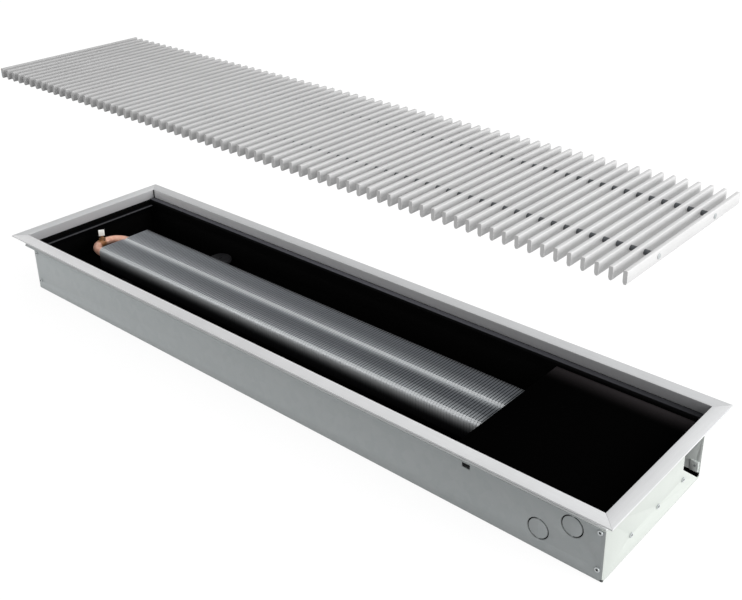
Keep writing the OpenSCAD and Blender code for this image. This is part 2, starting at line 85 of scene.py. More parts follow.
# the pipe notch takes the place of the upper side screw at the rear right
SIDE_SCREWS = [((s * SIDE_SCREW_X, y, z), (0, way, 0))
               for s in (-1, 1) for z in SIDE_SCREW_Z
               for y, way in ((FRONT_Y, -1), (REAR_Y, 1))
               if (s, z, way) != (1, SIDE_SCREW_Z[1], 1)]

# Grille
GRILLE_L = 1157
GRILLE_W = 267
GRILLE_Z = 391.5
BAR_N = 71
BAR_W = 5
BAR_H = 15.5
BAR_PITCH = (GRILLE_L - BAR_W) / (BAR_N - 1)
BAR_FOOT_H = 3
BAR_FOOT_TAPER = 0.52
BAR_ROUND = 0.8
ROD_Y = 67
ROD_Z = GRILLE_Z + BAR_H / 2
SLEEVE_R = 3.25
SLEEVE_BITE = 0.02

# Fins of the two rows
FIN_X = (-492, 422)
FIN_Y = (-55, 50)
FIN_Z = (27, 77)
SPLIT_Y = -2.5
FIN_INSET = 0.2
SPLIT_HALF = 0.3
FIN_PITCH = 4.9
FIN_SHEET = 0.22
FIN_RADIUS = 7
FIN_FOLD = 3.5
FIN_FACE_H = 34
TAB_W = 4.4
TAB_L = 5.5

# Pipes and vent
TUBE_Z = 56.5
TUBE_Y = (-36, 22)
TUBE_D = 15
TUBE_END_X = 462
TUBE_PLAY = 0.05
BEND_X = -519
BEND_R = 29
SOCKET_X = (BEND_X + 1, BEND_X + 13)
SOCKET_WALL = 0.9
VENT_X = -547.72
VENT_Y = -11.04
COLLAR_Z = (65, 67)
COLLAR_R = 3.6
CAP_W = 10.5
CAP_Z = (72, 80)
CAP_TURN = 58
CAP_RIM = 1.6
CAP_STEP = 0.4
CAP_DIP = 0.5


# ---------------------------------------------------------------- working by hand

def clear():
    """Leaves edit mode with nothing selected."""
    if bpy.context.object and bpy.context.object.mode != "OBJECT":
        bpy.ops.object.mode_set(mode="OBJECT")
    bpy.ops.object.select_all(action="DESELECT")


def take(piece):
    """Makes a piece the only one selected, and the active one."""
    clear()
    piece.select_set(True)
    bpy.context.view_layer.objects.active = piece


def bake(piece):
    """Puts the place, turn and size of a piece into its mesh."""
    take(piece)
    bpy.ops.object.transform_apply(location=True, rotation=True, scale=True)


def settle(name):
    """Names the new primitive and bakes it."""
    piece = bpy.context.object
    piece.name = name
    piece.data.name = name
    bake(piece)
    return piece


def block(name, low, high):
    """A box between two corners."""
    clear()
    centre = [(a + b) / 2 * MM for a, b in zip(low, high)]
    bpy.ops.mesh.primitive_cube_add(size=1, location=centre)
    bpy.context.object.scale = [(b - a) * MM for a, b in zip(low, high)]
    return settle(name)


def rod(name, start, end, radius, sides):
    """A closed cylinder between two points on a line along X, Y or Z."""
    clear()
    centre = [(a + b) / 2 * MM for a, b in zip(start, end)]
    spans = [abs(b - a) for a, b in zip(start, end)]
    turn = ((0, math.pi / 2, 0), (math.pi / 2, 0, 0), (0, 0, 0))[spans.index(max(spans))]
    bpy.ops.mesh.primitive_cylinder_add(
        vertices=sides, radius=radius * MM, depth=max(spans) * MM, location=centre,
        rotation=turn)
    return settle(name)


def along(start, way, length):
    """The point at a length from another one."""
    return tuple(a + b * length for a, b in zip(start, way))


def edit(piece):
    """Opens a piece in edit mode with all of it selected."""
    take(piece)
    bpy.ops.object.mode_set(mode="EDIT")
    bpy.ops.mesh.select_mode(type="FACE")
    bpy.ops.mesh.select_all(action="SELECT")


def pick(piece, kind, test):
    """Selects the faces, edges or corners that pass a test."""
    bpy.ops.mesh.select_mode(type=kind)
    bpy.ops.mesh.select_all(action="DESELECT")
    mesh = bmesh.from_edit_mesh(piece.data)
    parts = {"VERT": mesh.verts, "EDGE": mesh.edges, "FACE": mesh.faces}[kind]
    for part in parts:
        if test(part):
            part.select_set(True)
    mesh.select_flush_mode()
    bmesh.update_edit_mesh(piece.data)


def middle(part):
    """Middle of a face or an edge."""
    if hasattr(part, "calc_center_median"):
        return part.calc_center_median() / MM
    return (part.verts[0].co + part.verts[1].co) / 2 / MM


def cut(spot, way, **settings):
    """Cuts all of the open piece along the plane through a spot."""
    bpy.ops.mesh.select_all(action="SELECT")
    bpy.ops.mesh.bisect(plane_co=[c * MM for c in spot], plane_no=way, **settings)


def extrude(*way):
    """Extrudes what is selected."""
    bpy.ops.mesh.extrude_region_move(
        TRANSFORM_OT_translate={"value": tuple(c * MM for c in way)})


def leave():
    """Closes edit mode with the normals turned outwards."""
    bpy.ops.mesh.select_mode(type="FACE")
    bpy.ops.mesh.select_all(action="SELECT")
    bpy.ops.mesh.normals_make_consistent(inside=False)
    bpy.ops.object.mode_set(mode="OBJECT")


def modify(piece, kind, **settings):
    """Adds one modifier with its settings and applies it."""
    take(piece)
    modifier = piece.modifiers.new(kind.title(), kind)
    for key, value in settings.items():
        setattr(modifier, key, value)
    bpy.ops.object.modifier_apply(modifier=modifier.name)


def repeat(piece, count, pitch):
    """Makes a row of copies along X."""
    modify(piece, "ARRAY", count=count, use_relative_offset=False, use_constant_offset=True,
           constant_offset_displace=(pitch * MM, 0, 0))


def round_edges(piece, width, segments=2, angle=30):
    """Rounds every edge sharper than an angle in degrees."""
    modify(piece, "BEVEL", width=width * MM, segments=segments, limit_method="ANGLE",
           angle_limit=math.radians(angle), use_clamp_overlap=True)


def join(name, pieces):
    """Joins pieces into one mesh."""
    clear()
    for piece in pieces:
        piece.select_set(True)
    bpy.context.view_layer.objects.active = pieces[0]
    bpy.ops.object.join()
    pieces[0].name = name
    pieces[0].data.name = name
    return pieces[0]


def cad_copy(name, node):
    """A copy of a CAD node with its flat faces made whole, ready for finer edges."""
    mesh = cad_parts[node].data.copy()
    mesh.materials.clear()
    piece = bpy.data.objects.new(name, mesh)
    bpy.context.scene.collection.objects.link(piece)
    edit(piece)
    bpy.ops.mesh.remove_doubles(threshold=1e-6)
    bpy.ops.mesh.dissolve_limited(angle_limit=math.radians(0.5))
    leave()
    return piece


def place(piece, body, slot, finish, *nodes, angle=35):
    """Shades a finished piece smooth below an angle in degrees, gives it its material and its
    body, and hides the CAD nodes it stands for."""
    take(piece)
    bpy.ops.object.shade_smooth_by_angle(angle=math.radians(angle))
    piece.data.materials.clear()
    piece.data.materials.append(finish)
    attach(piece, body)
    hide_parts(*nodes)


# ---------------------------------------------------------------- shader nodes

def tint(code):
    """An sRGB hex colour as linear red, green, blue and alpha."""
    parts = [int(code[i:i + 2], 16) / 255 for i in (1, 3, 5)]
    return [c / 12.92 if c <= 0.04045 else ((c + 0.055) / 1.055) ** 2.4
            for c in parts] + [1.0]


BLACK = tint("#000000")


def feed(tree, node, inputs):
    """Links each input that is given a socket and sets the others."""
    for key, value in inputs.items():
        if isinstance(value, bpy.types.NodeSocket):
            tree.links.new(value, node.inputs[key])
        else:
            node.inputs[key].default_value = value


def add(tree, kind, inputs=None, **settings):
    """Adds a node with its settings and its inputs."""
    node = tree.nodes.new(kind)
    for key, value in settings.items():
        setattr(node, key, value)
    feed(tree, node, inputs or {})
    return node


def empty_tree(owner):
    """Gives a material or a world a node tree with nothing in it."""
    owner.use_nodes = True
    owner.node_tree.nodes.clear()
    return owner.node_tree


def material(name):
    """A material, its tree, its shader, and the place on the object."""
    made = bpy.data.materials.new(name)
    tree = empty_tree(made)
    shader = add(tree, "ShaderNodeBsdfPrincipled")
    add(tree, "ShaderNodeOutputMaterial", {"Surface": shader.outputs[0]})
    return made, tree, shader, add(tree, "ShaderNodeTexCoord").outputs["Object"]


def split(tree, where):
    """X, Y and Z of a place."""
    return add(tree, "ShaderNodeSeparateXYZ", {0: where}).outputs


def noise(tree, where, scale, detail=2.0):
    """Cloudy noise with a number of clouds to the metre."""
    return add(tree, "ShaderNodeTexNoise", {
        "Vector": where, "Scale": scale, "Detail": detail}).outputs[0]


def grain_of(tree, where, stretch, detail):
    """Noise with a number of streaks to the metre along each axis."""
    stretched = add(tree, "ShaderNodeMapping", {"Vector": where, "Scale": stretch})
    return noise(tree, stretched.outputs[0], 1.0, detail)


def distance(tree, where, spot):
    """Distance in metres from a spot."""
    return add(tree, "ShaderNodeVectorMath", {0: where, 1: tuple(c * MM for c in spot)},
               operation="DISTANCE").outputs["Value"]


def blend(tree, amount, first, second):
    """Mixes two colours by an amount."""
    return add(tree, "ShaderNodeMix", {0: amount, 6: first, 7: second},
               data_type="RGBA").outputs[2]


def shift(tree, value, low, high, source=(0.0, 1.0)):
    """Maps a value in a source range onto another range, and holds it at the ends."""
    return add(tree, "ShaderNodeMapRange", {
        "Value": value, "From Min": source[0], "From Max": source[1],
        "To Min": low, "To Max": high}).outputs[0]


def ramp(tree, value, start, end, low=0, high=1):
    """Goes from low to high while a coordinate or a distance goes from start to end."""
    return shift(tree, value, low, high, (start * MM, end * MM))


def calc(tree, operation, *values):
    """One step of arithmetic on sockets or numbers."""
    return add(tree, "ShaderNodeMath", dict(enumerate(values)), operation=operation).outputs[0]


def over(tree, value, edge):
    """1 where a coordinate is larger than an edge, else 0."""
    return calc(tree, "GREATER_THAN", value, edge * MM)


def under(tree, value, edge):
    """1 where a coordinate or a distance is smaller than an edge, else 0."""
    return calc(tree, "LESS_THAN", value, edge * MM)


def span(tree, value):
    """A value without its sign."""
    return calc(tree, "ABSOLUTE", value)


def chain(tree, operation, values):
    """The same step of arithmetic through a row of sockets or numbers."""
    result = values[0]
    for value in values[1:]:
        result = calc(tree, operation, result, value)
    return result


def times(tree, *values):
    """The product of sockets or numbers."""
    return chain(tree, "MULTIPLY", values)


def most(tree, *values):
    """The largest of sockets or numbers."""
    return chain(tree, "MAXIMUM", values)


def relief(tree, height, strength, depth=0.2):
    """A fine relief for a shader's normal."""
    return add(tree, "ShaderNodeBump", {
        "Height": height, "Strength": strength, "Distance": depth * MM}).outputs[0]


# ---------------------------------------------------------------- finishes

# The drawing grain of a profile: long along it, 900 lines to the metre across it.
DRAWN_X = (30, 900, 900)
DRAWN_Y = (900, 30, 900)
# A top face counts as one down to this depth.
SKIN = 0.6


def anodised(name, stretch, left, right, leg=None):
    """Satin anodised aluminium: etched extrusion with a faint drawing grain along it, and a
    tone that changes a little from its left end to its right, which is painted light and
    shade. A frame side may have a leg of another tone, also painted light and shade, and a
    dark open seam where two legs meet at an inner corner."""
    made, tree, shader, where = material(name)
    x, y, z = split(tree, where)
    grain = grain_of(tree, where, stretch, 3.0)
    both = calc(tree, "ADD", grain, noise(tree, where, 14.0))
    # painted light and shade: the tone goes from the left tint to the right one along the
    # length
    ends = ramp(tree, x, -FRAME_L / 2, FRAME_L / 2)
    tone = blend(tree, shift(tree, both, 0, 0.07, (0.7, 1.3)),
                 blend(tree, ends, tint(left), tint(right)), BLACK)
    if leg:
        # painted light and shade: the hanging leg has tints of its own
        hanging = under(tree, z, TOP - SKIN)
        tone = blend(tree, hanging, tone, blend(tree, ends, tint(leg[0]), tint(leg[1])))
        from_corner = most(tree, *(
            span(tree, calc(tree, "SUBTRACT", span(tree, value), edge * MM))
            for value, edge in ((x, OPEN_X), (y, OPEN_Y))))
        seam = times(tree, hanging, ramp(tree, from_corner, 1.2, 2, 1, 0))
        tone = blend(tree, seam, tone, tint("#2a2a2b"))
    feed(tree, shader, {
        "Base Color": tone, "Roughness": shift(tree, grain, 0.38, 0.47), "Metallic": 0.12,
        "Specular IOR Level": 0.3, "Normal": relief(tree, grain, 0.05)})
    return made


def trough_sheet():
    """Galvanised steel sheet: zinc grey outside with a soft spangle about 10 mm across,
    painted shade that darkens the long sides towards the right, the ends in one even zinc
    tone, painted light that makes the pipe chamber near white, and a matt black lacquer on the
    other faces that look into the trench."""
    made, tree, shader, where = material("galvanised_sheet_black_inside")
    x, y, z = split(tree, where)
    span_x = span(tree, x)
    core = SHEET / 2
    long_sides = under(tree, span_x, END_X - core)
    inside = times(tree, over(tree, y, FRONT_Y + core), under(tree, y, REAR_Y - core),
                   over(tree, z, core), long_sides)
    # the pipe chamber under the cover stays bare, apart from its floor and a black band at its
    # top: lacquer above the cover, and painted shade from rim_z up to the cover, where the gap
    # beside it would let light show
    floor_z, rim_z = 8, 70
    painted = most(tree, under(tree, x, COVER_X + 1), over(tree, z, rim_z),
                   under(tree, z, floor_z))
    # the ledge is black as far as the middle of the frame's foam
    foam_x, foam_y = OPEN_X + 1, OPEN_Y + 1
    ledge = times(tree, over(tree, z, LEDGE_Z - 0.2), under(tree, span(tree, y), foam_y),
                  under(tree, span_x, foam_x))
    black = most(tree, ledge, times(tree, inside, painted))

    # the cut round each knock-out, and the open corner where the bends meet
    cuts = []
    flat = add(tree, "ShaderNodeCombineXYZ", {0: x, 1: 0.0, 2: z}).outputs[0]
    for spot_x, spot_z in KNOCK_OUTS:
        off = calc(tree, "SUBTRACT", distance(tree, flat, (spot_x, 0, spot_z)), KNOCK_R * MM)
        cuts.append(ramp(tree, span(tree, off), 0.9, 1.7, 0.35, 0))
    rings = times(tree, most(tree, *cuts), under(tree, y, FRONT_Y + 2))
    corner = ramp(tree, distance(tree, where, (END_X, FRONT_Y, 1.5)), 2.8, 3.6, 1, 0)

    spangle = add(tree, "ShaderNodeTexVoronoi", {
        "Vector": where, "Scale": 95.0}).outputs["Color"]
    flake = add(tree, "ShaderNodeSeparateColor", {0: spangle}).outputs[0]
    mixed = calc(tree, "ADD", flake, noise(tree, where, 9.0, 3.0))
    zinc = blend(tree, shift(tree, mixed, 0, 1, (0.3, 1.5)), tint("#c1c7c8"), tint("#c8cdce"))
    # painted shade: the long sides darken a little towards the right, and the ends have one
    # even zinc tone
    dull = times(tree, ramp(tree, x, -END_X, END_X, 0, 0.28), long_sides)
    zinc = blend(tree, dull, zinc, BLACK)
    zinc = blend(tree, over(tree, span_x, END_X - core), zinc, tint("#c9cec9"))
    # painted light: the bare zinc deep in the pipe chamber is made near white
    chamber = times(tree, over(tree, x, COVER_X + 60), inside)
    zinc = blend(tree, chamber, zinc, tint("#f6fbf8"))
    zinc = blend(tree, most(tree, rings, corner), zinc, tint("#25282a"))

    speck = noise(tree, where, 900.0)
    lacquer = blend(tree, speck, tint("#030303"), tint("#060606"))
    rough = calc(tree, "ADD", shift(tree, flake, 0.46, 0.52), times(tree, black, 0.3))
    feed(tree, shader, {
        "Base Color": blend(tree, black, zinc, lacquer), "Roughness": rough,
        "Metallic": shift(tree, black, 0.12, 0.0),
        "Specular IOR Level": shift(tree, black, 0.35, 0.04),
        "Normal": relief(tree, speck, 0.08)})
    return made


def coated(name, dark, light, rough, grain, metal=0.0, gloss=0.5, shade_patch=None):
    """A finish of one colour with a fine grain in its colour, gloss and relief. A patch of
    painted shade is given by its middle, the radii where it starts to fade and ends, and its
    colour."""
    made, tree, shader, where = material(name)
    fine = noise(tree, where, grain, 3.0)
    broad = noise(tree, where, grain / 12)
    both = calc(tree, "ADD", fine, broad)
    tone = blend(tree, shift(tree, both, 0, 1, (0.7, 1.3)), tint(dark), tint(light))
    if shade_patch:
        spot, core, full, colour = shade_patch
        near = ramp(tree, distance(tree, where, spot), core, full, 1, 0)
        tone = blend(tree, near, tone, tint(colour))
    feed(tree, shader, {
        "Base Color": tone, "Roughness": shift(tree, broad, rough - 0.04, rough + 0.05),
        "Metallic": metal, "Specular IOR Level": gloss, "Normal": relief(tree, fine, 0.15)})
    return made


def fin_stock(name, y0, tail, left_edge):
    """Mill-finish fin stock, thin bright aluminium with rolling haze. Its light and shade are
    painted: a painted highlight on the rolled near edge at y0, duller towards the back of the
    row, and painted shade deep in the gaps and down its face. A tail paints light on the back
    of the row, beside the next row's edge, and left_edge is the tint of the painted highlight
    on the near edge at its left end."""
    made, tree, shader, where = material(name)
    x, y, z = split(tree, where)
    # painted highlight: brightest at the near edge, and with a tail, at the back of the row
    rise = ramp(tree, y, y0, y0 + 33, 1, 0)
    back = ramp(tree, y, y0 + 38, y0 + 52, 0, tail)
    glow = most(tree, times(tree, rise, rise), times(tree, back, back))
    haze = grain_of(tree, where, (1.5, 260, 40), 2.0)
    level = calc(tree, "ADD", glow, shift(tree, haze, -0.06, 0.06, (0.3, 0.7)))
    # painted shade: the body of the fins darkens towards the right
    plain = blend(tree, ramp(tree, x, FIN_X[0], 250), tint("#777b80"), tint("#474b50"))
    # painted light: the closed tabs are painted brighter than the open folds behind them
    tabs = blend(tree, ramp(tree, x, FIN_X[0], -100), tint(left_edge), tint("#fafdff"))
    bright = blend(tree, over(tree, y, y0 + TAB_L), tabs, tint("#b3b7ba"))
    metal = blend(tree, level, plain, bright)
    # painted shade deep in the gaps between the fins
    deep = times(tree, under(tree, z, FIN_Z[1] - SKIN), calc(tree, "SUBTRACT", 1.0, glow))
    metal = blend(tree, deep, metal, tint("#45484b"))
    # the last few millimetres of the pack stand in its own shadow
    rear = ramp(tree, y, FIN_Y[1] - 8, FIN_Y[1], 0, 0.8)
    metal = blend(tree, rear, metal, tint("#0c0d0e"))
    # painted shade down the face, with the darkest tints at its foot
    down = ramp(tree, z, 50, 71.5)
    shade = times(tree, down, down, down)
    foot = blend(tree, ramp(tree, z, 30, 58), tint("#020202"), tint("#1f1f21"))
    feed(tree, shader, {
        "Base Color": blend(tree, shade, foot, metal), "Roughness": 0.42,
        "Metallic": times(tree, shade, 0.3), "Specular IOR Level": times(tree, shade, 0.3),
        "Normal": relief(tree, haze, 0.1)})
    return made


def cover_coat():
    """Black powder coat on the cover: smooth, half gloss, faint orange peel of 1 mm. Its gloss
    shows only as a painted reflection along its far side, of the bright leg of the frame; the
    shader itself has no specular."""
    made, tree, shader, where = material("black_powder_coat")
    peel = noise(tree, where, 1000.0)
    # painted reflection of the frame's leg, strongest at the far side
    glow = ramp(tree, split(tree, where)[1], 84, 116)
    flat = blend(tree, peel, tint("#020202"), tint("#050505"))
    feed(tree, shader, {
        "Base Color": blend(tree, times(tree, glow, glow), flat, tint("#2d2a2b")),
        "Roughness": 0.38, "Specular IOR Level": 0.0,
        "Normal": relief(tree, peel, 0.1, 0.1)})
    return made


def foam_strip():
    """Pale closed-cell foam, dull, with 0.7 mm pores cut open at its faces, made paler still,
    which paints light into the shade under the flange; its inner faces are painted black as
    the shade under the leg of the frame."""
    made, tree, shader, where = material("closed_cell_foam")
    x, y, z = split(tree, where)
    pores = add(tree, "ShaderNodeTexVoronoi", {"Vector": where, "Scale": 1400.0}).outputs[0]
    # painted shade: the inner faces are black, as the shade under the leg of the frame
    inner = times(tree, under(tree, span(tree, y), OPEN_Y + 0.8),
                  under(tree, span(tree, x), OPEN_X + 0.8))
    pale = blend(tree, pores, tint("#d6d9d9"), tint("#e6e8e8"))
    feed(tree, shader, {
        "Base Color": blend(tree, inner, pale, tint("#050505")), "Roughness": 0.85,
        "Specular IOR Level": 0.1, "Normal": relief(tree, pores, 0.3, 0.4)})
    return made


def rubber_strip():
    """EPDM rubber strip: near black, with painted light that makes its top face grey and fades
    out towards the right end, and painted shade where the leg of the frame hangs over it."""
    made, tree, shader, where = material("epdm_rubber_strip")
    x, y, z = split(tree, where)
    mottle = noise(tree, where, 500.0, 3.0)
    # painted light: the top face is grey where it catches the light, the sides stay near black
    top = blend(tree, mottle, tint("#505055"), tint("#606066"))
    # the painted light fades out towards the right end
    top = blend(tree, ramp(tree, x, 0, END_X, 0, 0.8), top, tint("#0c0c0d"))
    # painted shade: it is black where the leg of the frame hangs over it
    leg_shade = ramp(tree, span(tree, y), OPEN_Y - 2.4, OPEN_Y - 1.6)
    top = blend(tree, leg_shade, top, tint("#0a0a0b"))
    feed(tree, shader, {
        "Base Color": blend(tree, over(tree, z, STRIP_TOP - 0.4), tint("#0a0a0b"), top),
        "Roughness": 0.8, "Specular IOR Level": 0.1, "Normal": relief(tree, mottle, 0.2)})
    return made


def plated_screws():
    """Zinc-plated steel screws: pale grey heads with painted shade in the drive recess, and
    shanks that are lacquered black where they stand inside the trough."""
    made, tree, shader, where = material("zinc_plated_screws")
    x, y, z = split(tree, where)
    inside = times(tree, under(tree, x, COVER_X), over(tree, x, -END_X + 0.1),
                   over(tree, y, FRONT_Y + 0.1), under(tree, y, REAR_Y - 0.1))
    # painted shade in each drive recess
    recesses = [under(tree, distance(tree, where, along(seat, way, 1)), DRIVE_R)
                for seat, way in END_SCREWS + SIDE_SCREWS]
    dark = most(tree, inside, *recesses)
    grain = noise(tree, where, 700.0)
    zinc = blend(tree, grain, tint("#bcc1c2"), tint("#d2d6d7"))
    feed(tree, shader, {
        "Base Color": blend(tree, dark, zinc, tint("#0c0c0d")),
        "Roughness": shift(tree, grain, 0.32, 0.44), "Metallic": shift(tree, dark, 0.4, 0.0),
        "Normal": relief(tree, grain, 0.1, 0.1)})
    return made


def edge_lit_lacquer():
    """Matt black lacquer on the rest angles, with a painted highlight that turns the last 3 mm
    before the free edge grey, where that edge catches the light."""
    made, tree, shader, where = material("black_lacquer_painted_edge_light")
    mottle = noise(tree, where, 300.0, 3.0)
    edge = ramp(tree, span(tree, split(tree, where)[0]), 569.5, 571, 1, 0)
    # painted highlight along the free edge, mottled by noise
    edge_light = times(tree, edge, shift(tree, mottle, 0.7, 1.0, (0.3, 0.6)))
    feed(tree, shader, {
        "Base Color": blend(tree, edge_light, tint("#040405"), tint("#47474a")),
        "Roughness": shift(tree, mottle, 0.5, 0.62), "Specular IOR Level": 0.05,
        "Normal": relief(tree, mottle, 0.12)})
    return made


# Anodised aluminium frame, drawn lengthways: pale satin silver with no mirror in it; the four
# lengths have tones of their own, which paint the light and shade that falls differently on
# each.
FRAME_FRONT = anodised("satin_anodised_front", DRAWN_X, "#f1f1f2", "#cfd0d1")
FRAME_REAR = anodised("satin_anodised_rear", DRAWN_X, "#cbcccd", "#bfc0c1",
                      leg=("#fbfbfc", "#9a9a9c"))
FRAME_LEFT = anodised("satin_anodised_left", DRAWN_Y, "#cdcecf", "#cdcecf",
                      leg=("#b9b9bb", "#b9b9bb"))
FRAME_RIGHT = anodised("satin_anodised_right", DRAWN_Y, "#dadbdc", "#dadbdc")
# Anodised aluminium bars, drawn across the trench, with painted shade that darkens them
# towards the left end
BARS = anodised("satin_anodised_bars", DRAWN_Y, "#a9a9a9", "#d4d4d4")
# Mill-finish fin stock of the two rows
FINS_FRONT = fin_stock("mill_finish_fins_front", FIN_Y[0], 1.0, "#dde1e3")
FINS_REAR = fin_stock("mill_finish_fins_rear", SPLIT_Y, 0.0, "#fafdff")
# Soft copper tube: orange-pink, with a brown patch of painted shade on the inner side of the
# bend, under the vent
COPPER = coated("drawn_copper_tube", "#f9b498", "#ffd2bd", 0.32, 160, metal=0.3,
                shade_patch=((-543, -16, 58), 7, 12, "#a9764e"))
# Turned brass of the pipe unions: warm yellow
BRASS = coated("turned_brass", "#9a7645", "#b99460", 0.34, 500, metal=0.85)
# Brass of the vent, a darker brown than that of the unions
VENT_BRASS = coated("dark_brown_vent_brass", "#7c5a3c", "#a47b56", 0.45, 400, metal=0.3)
TROUGH = trough_sheet()
COVER = cover_coat()
# Black lacquer on the cover hooks and the exchanger brackets: matt, with a fine dust
LACQUER = coated("matt_black_lacquer", "#0c0c0d", "#161617", 0.55, 800, gloss=0.2)
EDGE_LIT_LACQUER = edge_lit_lacquer()
# Bright zinc plate of the corner keys, rods, rivets, weld nuts and bracket screws
ZINC = coated("bright_zinc_plate", "#a3a8a9", "#c2c6c7", 0.36, 400, metal=0.6)
RUBBER = rubber_strip()
SCREWS = plated_screws()
FOAM = foam_strip()
# Moulded dark grey polyamide of the spacers, dusty and dull
SLEEVES = coated("moulded_grey_polyamide", "#4b4e51", "#5b5e61", 0.60, 900, gloss=0.3)
# Moulded black polyamide of the levelling caps; painted shade darkens the two at the front,
# which lie in the dark, and the edge of a ball that wide is a straight line along the trench
NYLON = coated("moulded_black_polyamide", "#1f1f21", "#2a2a2c", 0.50, 900, gloss=0.1,
               shade_patch=((0, -2100, 10), 2060, 2100, "#050505"))
# Ivory white polyamide of the vent cap
WHITE = coated("moulded_white_polyamide", "#f2f1ec", "#fdfcf8", 0.42, 700)


# ---------------------------------------------------------------- floor frame

def frame_side(name, length, reach, turn, finish, node):
    """One mitred side: flat flange outside, hanging leg along the opening."""
    half = length / 2
    side = block(name, (-half, -reach, TOP - FLANGE_T), (half, -reach + FLANGE_W, TOP))
    edit(side)
    leg_y = -reach + FLANGE_W - LEG_T
    cut((0, leg_y, 0), (0, 1, 0))
    pick(side, "FACE", lambda f: f.normal.z < -0.9 and middle(f).y > leg_y)
    extrude(0, 0, LEG_Z - TOP + FLANGE_T)
    for s in (-1, 1):
        cut((s * (half - MITRE_GAP), -reach, 0), (s, 1, 0), clear_outer=True, use_fill=True)
    leave()
    round_edges(side, 0.45)
    side.rotation_euler = (0, 0, math.radians(turn))
    bake(side)
    place(side, "trough", "frame_aluminium", finish, node)


frame_side("frame_front_profile", FRAME_L, FRAME_W / 2, 0, FRAME_FRONT, "frame_front")
frame_side("frame_rear_profile", FRAME_L, FRAME_W / 2, 180, FRAME_REAR, "frame_rear")
frame_side("frame_right_profile", FRAME_W, FRAME_L / 2, 90, FRAME_RIGHT, "frame_right")
frame_side("frame_left_profile", FRAME_W, FRAME_L / 2, -90, FRAME_LEFT, "frame_left")


# ---------------------------------------------------------------- sheet-metal trough

def round_fold(piece, fold_y):
    """Rounds the fold that runs along X at the bottom of a long wall."""

    def on_fold(e):
        way = (e.verts[1].co - e.verts[0].co).normalized()
        spot = middle(e)
        return abs(way.x) > 0.99 and abs(spot.y - fold_y) < 0.05 and abs(spot.z) < 0.05

    edit(piece)
    pick(piece, "EDGE", on_fold)
    bpy.ops.mesh.bevel(offset=FOLD_R * MM, segments=4, affect="EDGES", profile=0.5)
    leave()


trough = cad_copy("trough_bent_sheet", "trough_shell")
for fold_y in (FRONT_Y, REAR_Y):
    round_fold(trough, fold_y)
round_edges(trough, 0.25, 2, 40)
place(trough, "trough", "galvanised_sheet", TROUGH, "trough_shell")

for side in ("left", "right"):
    wall = cad_copy(side + "_end_wall_sheet", side + "_end_wall")
    round_edges(wall, 0.25, 2, 40)
    place(wall, "trough", "galvanised_sheet", TROUGH, side + "_end_wall")


# ---------------------------------------------------------------- heat exchanger

def fin_row(name, y0, y1):
    """A row of thin fins with folded top edges; at the near side each fold widens into a
    rounded spacing tab that runs down the face and almost meets the next fin."""
    top = FIN_Z[1]
    face_z = top - FIN_FACE_H
    fin = block(name, (FIN_X[0], y0, FIN_Z[0]), (FIN_X[0] + 0.3, y1, top))
    edit(fin)
    # keep one flat face and round its near top corner
    pick(fin, "FACE", lambda f: f.normal.x > -0.9)
    bpy.ops.mesh.delete(type="FACE")
    pick(fin, "VERT", lambda v: v.co.y / MM < y0 + 1 and v.co.z / MM > top - 1)
    bpy.ops.mesh.bevel(offset=FIN_RADIUS * MM, segments=5, affect="VERTICES")
    cut((0, 0, face_z), (0, 0, 1))
    cut((0, y0 + TAB_L, 0), (0, 1, 0))

    def upper(e):
        spot = middle(e)
        on_face = spot.z > face_z and spot.y < y0 + FIN_RADIUS
        return e.is_boundary and (spot.z > top - 0.01 or on_face)

    def tab_edge(e):
        out = min(v.co.x for v in e.verts) / MM > FIN_X[0] + FIN_FOLD - 0.05
        return e.is_boundary and out and middle(e).y < y0 + TAB_L - 0.1

    # fold the top and the face out, then widen the near part
    pick(fin, "EDGE", upper)
    extrude(FIN_FOLD, 0, 0)
    pick(fin, "EDGE", tab_edge)
    extrude(TAB_W - FIN_FOLD, 0, 0)
    leave()
    modify(fin, "SOLIDIFY", thickness=FIN_SHEET * MM, offset=0)
    repeat(fin, int((FIN_X[1] - FIN_X[0] - TAB_W) / FIN_PITCH) + 1, FIN_PITCH)
    return fin


front_fins = fin_row("front_fin_row", FIN_Y[0] + FIN_INSET, SPLIT_Y - SPLIT_HALF)
rear_fins = fin_row("rear_fin_row", SPLIT_Y + SPLIT_HALF, FIN_Y[1] - FIN_INSET)
place(front_fins, "trough", "fin_aluminium", FINS_FRONT, "fin_stack", angle=50)
place(rear_fins, "trough", "fin_aluminium", FINS_REAR, "fin_stack", angle=50)

tubes = []
for y in TUBE_Y:
    tube = rod("tube", (BEND_X, y, TUBE_Z), (TUBE_END_X, y, TUBE_Z),
               TUBE_D / 2 - TUBE_PLAY, 40)
    socket = rod("tube_socket", (SOCKET_X[0], y, TUBE_Z), (SOCKET_X[1], y, TUBE_Z),
                 TUBE_D / 2 + SOCKET_WALL, 40)
    round_edges(socket, 0.7, 3)
    tubes += [tube, socket]
place(join("exchanger_copper_tubes", tubes), "trough", "copper_tube", COPPER,
      "exchanger_tubes")

clear()
bpy.ops.mesh.primitive_torus_add(
    major_radius=BEND_R * MM, minor_radius=TUBE_D / 2 * MM, major_segments=72,
    minor_segments=28, location=(BEND_X * MM, sum(TUBE_Y) / 2 * MM, TUBE_Z * MM))
return_bend = settle("return_bend_copper")
edit(return_bend)
cut((BEND_X, 0, 0), (1, 0, 0), clear_outer=True, use_fill=True)
leave()
place(return_bend, "trough", "copper_tube", COPPER, "return_bend")

vent = cad_copy("vent_brass_body", "vent_body")
collar = rod("vent_collar", (VENT_X, VENT_Y, COLLAR_Z[0]), (VENT_X, VENT_Y, COLLAR_Z[1]),
             COLLAR_R, 6)
round_edges(collar, 0.4)
place(join("vent_brass_body", [vent, collar]), "trough", "brass_fitting", VENT_BRASS,
      "vent_body")

